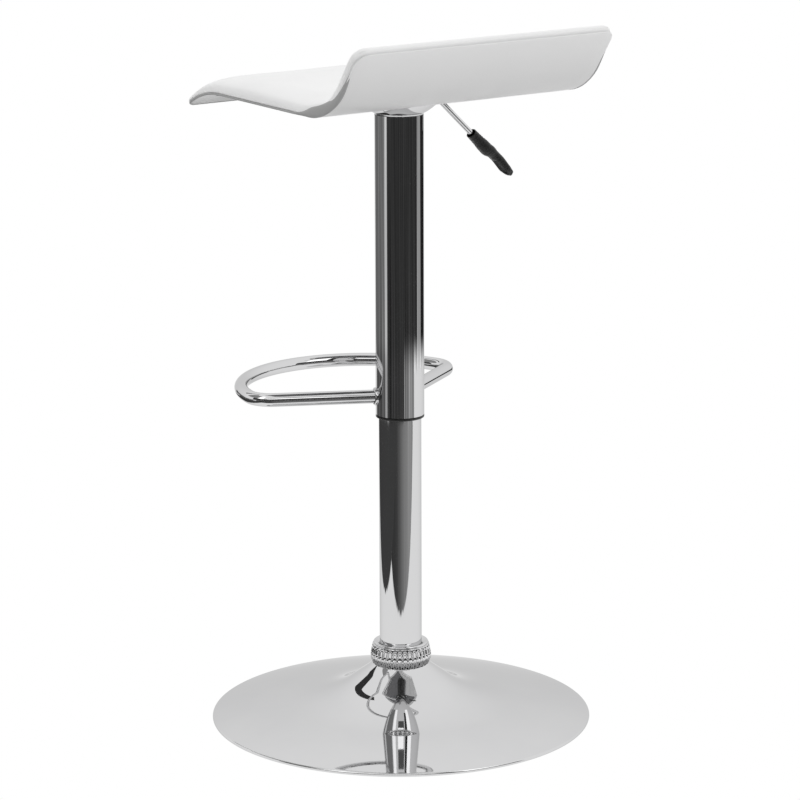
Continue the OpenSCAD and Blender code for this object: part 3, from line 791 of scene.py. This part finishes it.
def build_dust_cloth(material):
    """Dark cloth stretched over the flat part of the underside."""
    rows, cols = 40, 30
    low, high = [], []
    for i in range(rows + 1):
        s = mix(0.020, 0.240, i / rows)
        w = 0.163 - 0.012 * (1 - rounding(min(i, rows - i) / rows * 0.22, 0.012))
        xs = [mix(-w, w, j / cols) for j in range(cols + 1)]
        edge = [rounding(min(w - abs(x), min(i, rows - i) / rows * 0.22), 0.004) for x in xs]
        low.append([seat_point(s, x, 0.0001 - 0.0008 * e + 0.3 * soft_folds(s * 2, x))
                    for x, e in zip(xs, edge)])
        high.append([seat_point(s, x, 0.0006) for x in xs])
    n = cols + 1
    verts = [p for row in low + high for p in row]
    base = (rows + 1) * n
    faces = []
    for i in range(rows):
        for j in range(cols):
            a = i * n + j
            faces.append((a, a + n, a + n + 1, a + 1))
            faces.append((base + a, base + a + 1, base + a + n + 1, base + a + n))
    place(add_object("dust_cloth", verts, faces, material), "lift")


def outline_stations():
    """Points (s, x) and outward directions around the seat, as one closed path."""
    path = []

    def corner(cs, cx, r, start):
        for i in range(13):
            a = start + math.pi / 2 * i / 12
            path.append((cs + r * math.cos(a), cx + r * math.sin(a), math.cos(a), math.sin(a)))

    def side(s0, x0, s1, x1, ds, dx, count):
        for i in range(1, count):
            path.append((mix(s0, s1, i / count), mix(x0, x1, i / count), ds, dx))

    w, f, b = SEAT_HALF_W, FRONT_CORNER, BACK_CORNER
    corner(SEAT_LEN - b, w - b, b, 0.0)
    side(SEAT_LEN - b, w, f, w, 0.0, 1.0, 90)
    corner(f, w - f, f, math.pi / 2)
    side(0.0, w - f, 0.0, f - w, -1.0, 0.0, 40)
    corner(f, f - w, f, math.pi)
    side(f, -w, SEAT_LEN - b, -w, 0.0, -1.0, 90)
    corner(SEAT_LEN - b, b - w, b, 1.5 * math.pi)
    side(SEAT_LEN, b - w, SEAT_LEN, w - b, 1.0, 0.0, 40)
    return path


def build_edge(material):
    """Piping under the pad's side, sunk into the seam where the seat rises. Where the rise starts it widens
    over the pad's side into a broad grey band of painted shade.
    """
    loops = []
    for s, x, ds, dx in outline_stations():
        s_in = clamp(s, 0.0, SEAT_LEN)
        side = abs(dx) * smooth((s_in - 0.205) / 0.045)
        # Painted shade: at the start of the rise the grey piping widens over the pad's side to darken it.
        painted_shade_band = side * (1 - smooth((s_in - 0.262) / 0.085))
        sink = smooth((s_in - 0.30) / 0.05) if abs(dx) > 0.5 else smooth((s_in - 0.235) / 0.04)
        half = mix(mix(RIM_T / 2 + 0.0002, 0.0009, sink), 0.0064, painted_shade_band)
        deep = mix(half, 0.0016, painted_shade_band)
        middle = mix(mix(RIM_T / 2, RIM_T - 0.0004, sink), 0.0062, painted_shade_band)
        shift = mix(mix(0.0002, -0.0018, sink), 0.0003, painted_shade_band)
        loop = []
        for j in range(16):
            t = math.tau * j / 16
            out = shift - deep + deep * math.cos(t)
            loop.append(seat_point(s + ds * out, x + dx * out, middle + half * math.sin(t)))
        loops.append(loop)
    verts, faces = loft(loops, closed_loops=True, closed_path=True)
    place(add_object("seat_edge_binding", verts, faces, material), "lift", ["edge_binding"])


# ---------------------------------------------------------------- studio
def emission(name, level):
    material = bpy.data.materials.new(name)
    material.use_nodes = True
    tree = material.node_tree
    tree.nodes.clear()
    glow = tree.nodes.new("ShaderNodeEmission")
    glow.inputs["Color"].default_value = (1, 1, 1, 1)
    glow.inputs["Strength"].default_value = level
    out = tree.nodes.new("ShaderNodeOutputMaterial")
    tree.links.new(glow.outputs[0], out.inputs[0])
    return material


def card(name, corners, level):
    """Flat panel that the chrome mirrors and the camera doesn't see."""
    only_mirrored(add_object(name, corners, [tuple(range(len(corners)))], emission(name, level),
                             smooth_faces=False))


def around(near, side, z):
    return TOWARDS_VIEW * near + VIEW_RIGHT * side + Vector((0, 0, z))


def wall_card(name, start, end, distance, low, high, level):
    """Upright curved panel between two directions, counted from the view and growing to its right."""
    count = max(2, round(abs(end - start) / 4))
    verts, faces = [], []
    for i in range(count + 1):
        a = math.radians(mix(start, end, i / count))
        verts += [around(distance * math.cos(a), distance * math.sin(a), z) for z in (low, high)]
    for i in range(count):
        faces.append((2 * i, 2 * i + 2, 2 * i + 3, 2 * i + 1))
    only_mirrored(add_object(name, verts, faces, emission(name, level), smooth_faces=False))


def shade(name, start, end, distance, low, high, level):
    """Upright panel that darkens the light from its side and isn't mirrored."""
    wall_card(name, start, end, distance, low, high, level)
    piece = bpy.data.objects[name]
    piece.visible_glossy = False
    piece.visible_diffuse = True


# Broad dark panels on the studio floor: first and last direction, brightness. The rest is white.
NEAR_PANELS = [(-140, -75, 0.12), (-75, -60, 0.45), (-60, 20, 0.05), (20, 70, 0.30)]
FAR_PANELS = [(-150, -75, 0.20), (-75, -60, 0.75), (-60, 90, 0.04), (90, 115, 0.38), (115, 155, 0.02)]


def panel_tone(panels, angle):
    for start, end, level in panels:
        if start <= angle < end:
            return level
    return 1.0


def surroundings(near, side):
    """Brightness of the studio floor that the upright chrome mirrors, 1 where it is the white table."""
    distance, angle = math.hypot(near, side), math.degrees(math.atan2(side, near))
    streak = 1 + 0.9 * noise.noise(Vector((angle * 0.22, distance * 0.25, 4.0)))
    streak *= 1 + 0.5 * noise.noise(Vector((angle * 0.6, distance * 0.4, 9.0)))
    if distance > 1.55:
        far = smooth((distance - 1.9) / 0.35)
        tone = mix(panel_tone(NEAR_PANELS, angle), panel_tone(FAR_PANELS, angle), far)
        return tone if tone > 0.95 else tone * streak
    if near > 0.46 and -0.55 < side < 1.8:
        return mix(0.05, 0.34, smooth((angle + 30) / 80)) * mix(1, streak, 0.25)
    if near > -2 and side <= -0.55:
        return 0.06
    return 1.0


def build_mirror_floor():
    """Level sheet just above the floor, seen only in mirror images, that carries the surroundings."""
    turns = 720
    rings = [0.30 + 0.018 * i for i in range(70)] + [1.56 + 0.03 * i for i in range(24)]
    rings += [2.26, 3.0, 4.0, 6.0, 9.0]
    verts, levels, faces = [], [], []
    for d in rings:
        for j in range(turns):
            a = math.tau * j / turns
            near, side = d * math.cos(a), d * math.sin(a)
            verts.append(around(near, side, 0.003))
            levels.append(surroundings(near, side))
    for i in range(len(rings) - 1):
        for j in range(turns):
            k = (j + 1) % turns
            faces.append((i * turns + j, (i + 1) * turns + j, (i + 1) * turns + k, i * turns + k))
    material = emission("mirror_floor", 1.0)
    piece = add_object("mirror_floor", verts, faces, material, smooth_faces=False)
    tone = piece.data.attributes.new("tone", "FLOAT", "POINT")
    tone.data.foreach_set("value", levels)
    tree = material.node_tree
    reader = tree.nodes.new("ShaderNodeAttribute")
    reader.attribute_name = "tone"
    tree.links.new(reader.outputs["Fac"], tree.nodes["Emission"].inputs["Strength"])
    only_mirrored(piece)


def only_mirrored(piece):
    piece.visible_camera = False
    piece.visible_diffuse = False
    piece.visible_shadow = False
    piece.visible_transmission = False


def build_studio():
    floor = add_object("studio_floor", [(-14, -14, 0), (14, -14, 0), (14, 14, 0), (-14, 14, 0)],
                       [(0, 1, 2, 3)], emission("white_table", 1.0), smooth_faces=False)

    world = bpy.data.worlds.new("studio")
    scene.world = world
    world.use_nodes = True
    sky = world.node_tree.nodes["Background"]
    sky.inputs["Color"].default_value = (1, 1, 1, 1)
    sky.inputs["Strength"].default_value = 1.0

    build_mirror_floor()
    # Upright panels on the viewer's side, mirrored in the dish and the cone
    wall_card("dark_front", -75, 75, 3.2, 0.32, 1.75, 0.05)
    for name, start, end, low, high, level in (
            ("dark_left", -140, -130, 1.8, 6, 0.04), ("grey_left", -110, -60, 1.7, 6, 0.30),
            ("bright_left", -55, -35, 1.7, 6, 1.9), ("bright_middle", -20, 15, 1.9, 2.6, 2.0),
            ("dark_middle", -20, 20, 2.6, 3.4, 0.14), ("dark_right", 25, 40, 1.7, 5, 0.03),
            ("bright_right", 40, 65, 1.7, 6, 2.0)):
        wall_card(name, start, end, 3.1, low, high, level)
    shade("shade_front", -70, 70, 3.4, 0, 1.7, 0.30)
    shade("shade_left", -150, -70, 3.4, 0, 1.7, 0.10)
    count = 48
    ring = [around(1.7 * math.cos(math.tau * i / count), 1.7 * math.sin(math.tau * i / count), 0.0015)
            for i in range(count)]
    card("shade_floor", ring, 0.60)
    bpy.data.objects["shade_floor"].visible_glossy = False
    bpy.data.objects["shade_floor"].visible_diffuse = True


def build_camera():
    camera = bpy.data.cameras.new("camera")
    camera.sensor_width = 36
    camera.lens = 145
    piece = bpy.data.objects.new("camera", camera)
    scene.collection.objects.link(piece)
    piece.location = TOWARDS_VIEW * 3.675 + Vector((0, 0, 1.236))
    level = Euler((math.radians(77), 0, VIEW_AZIMUTH)).to_quaternion()
    piece.rotation_mode = "QUATERNION"
    piece.rotation_quaternion = level @ Quaternion((0, 0, 1), -0.0033)
    scene.camera = piece


# ---------------------------------------------------------------- assembly
def dress_cad_nodes(materials):
    """Give every CAD node the procedural material of its slot."""
    slots = {row["node"]: row["material_slot"] for row in frame["record"]["subparts"]}
    for name, piece in frame["nodes"].items():
        slot = slots[name]
        for i in range(max(1, len(piece.material_slots))):
            if not piece.material_slots:
                piece.data.materials.append(materials[slot])
            else:
                piece.material_slots[i].material = materials[slot]


build_camera()
materials = make_materials()
dress_cad_nodes(materials)
build_base_cover(materials["base_chrome"])
build_collar(materials["chrome"])
build_tube("fixed_column", "lower_column", 0.002, "base", materials["chrome"])
build_tube("moving_tube", "outer_tube", 0.0015, "lift", materials["chrome"])
build_bush(materials["black_bush"])
build_bell(materials["chrome"])
build_hoop(materials["chrome"])
build_lever(materials["lever_chrome"])
build_grip(materials["grip_plastic"])
build_pad(materials["white_vinyl"])
build_back_cover(materials["back_vinyl"])
build_edge(materials["edge_vinyl"])
build_dust_cloth(materials["dust_cloth"])
build_studio()
scene.view_settings.view_transform = "Standard"
